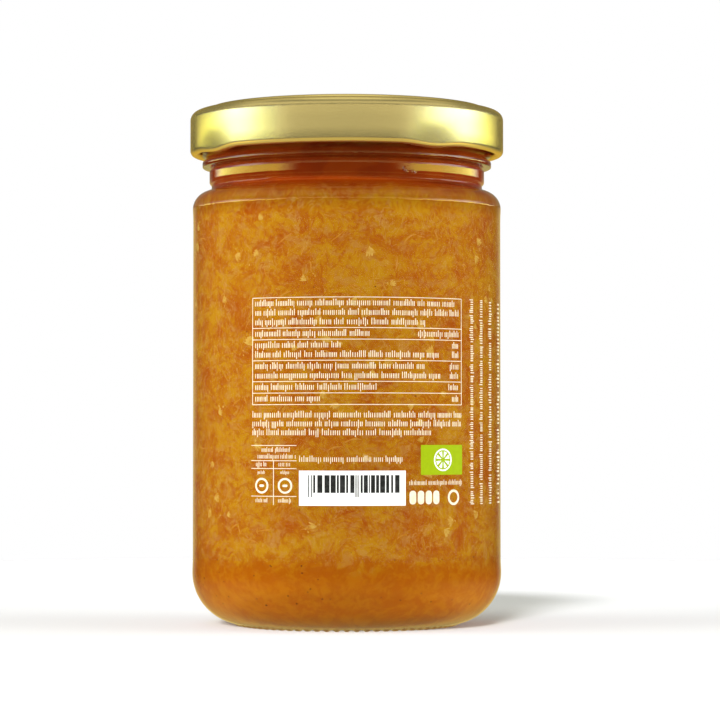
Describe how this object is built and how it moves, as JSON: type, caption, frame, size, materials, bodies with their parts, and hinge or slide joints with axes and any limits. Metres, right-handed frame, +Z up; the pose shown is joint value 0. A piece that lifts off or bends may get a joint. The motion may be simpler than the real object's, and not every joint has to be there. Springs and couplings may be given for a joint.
{
  "type": "marmalade jar",
  "caption": "Round clear glass jar filled with orange marmalade, shut with a gold metal twist-off lid and wrapped in a clear printed film label.",
  "frame": {"origin": "centre of the jar's footprint, on the surface it stands on", "axes": "+Z up along the jar's axis; the printed panel of the label faces -Y"},
  "size_m": [0.067, 0.067, 0.1103],
  "materials": {
    "clear_glass": "clear flint glass, faint yellow-green tint, smooth",
    "orange_marmalade": "cloudy amber jelly with fine shreds of peel, wet and glossy",
    "clear_film": "thin clear film with white and green print",
    "gold_lacquer": "tinplate with clear gold lacquer, semi-gloss"
  },
  "bodies": {
    "root": {"jar_glass": "clear_glass", "marmalade": "orange_marmalade", "label_film": "clear_film", "lid": "gold_lacquer"}
  },
  "joints": []
}
